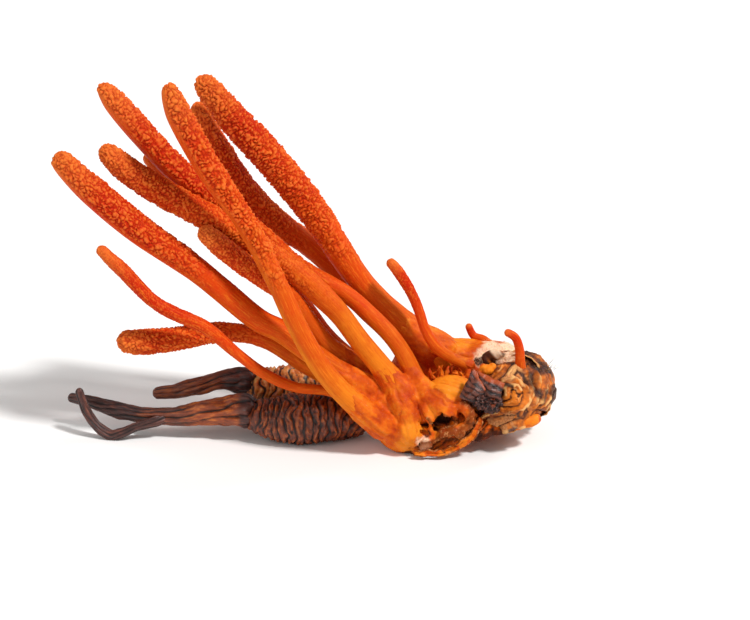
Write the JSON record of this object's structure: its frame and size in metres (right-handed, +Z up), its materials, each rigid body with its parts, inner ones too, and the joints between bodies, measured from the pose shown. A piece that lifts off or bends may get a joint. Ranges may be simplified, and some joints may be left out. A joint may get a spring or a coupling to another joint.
{
  "type": "cordyceps bunch",
  "caption": "Bunch of long orange cordyceps clubs growing from a crusted mycelium mat, lying with two dried larva fungi tucked under it.",
  "frame": {"origin": "middle of the underside of the bunch's bounding box, on the surface it lies on", "axes": "+X along the bunch towards its root end, +Y away from the front, +Z up"},
  "size_m": [0.1536, 0.0432, 0.1168],
  "materials": {
    "club": "velvety orange fungus flesh",
    "mat": "fibrous yellow-orange mycelium",
    "crust": "rough ribbed crust",
    "husk": "dry dark husk",
    "larva": "dried wrinkled skin",
    "stalk": "dark dry wrinkled stalk"
  },
  "bodies": {
    "root": {"club_tall": "club", "club_behind_tall": "club", "club_front": "club", "club_upper_left": "club", "club_mid_left": "club", "club_hidden": "club", "club_short": "club", "club_long_left": "club", "club_low": "club", "club_curly": "club", "club_hook": "club", "sprout_ridge": "club", "sprout_end": "club", "root_mat": "mat", "substrate_crust": "crust", "bottom_lobe": "mat", "yellow_bud": "mat", "rind_fold": "mat", "char_knob": "husk", "husk_left": "husk", "husk_right": "husk", "larva_front": "larva", "larva_back": "larva", "stalk_front": "stalk", "stalk_front_fork": "stalk", "stalk_back": "stalk"}
  },
  "joints": []
}
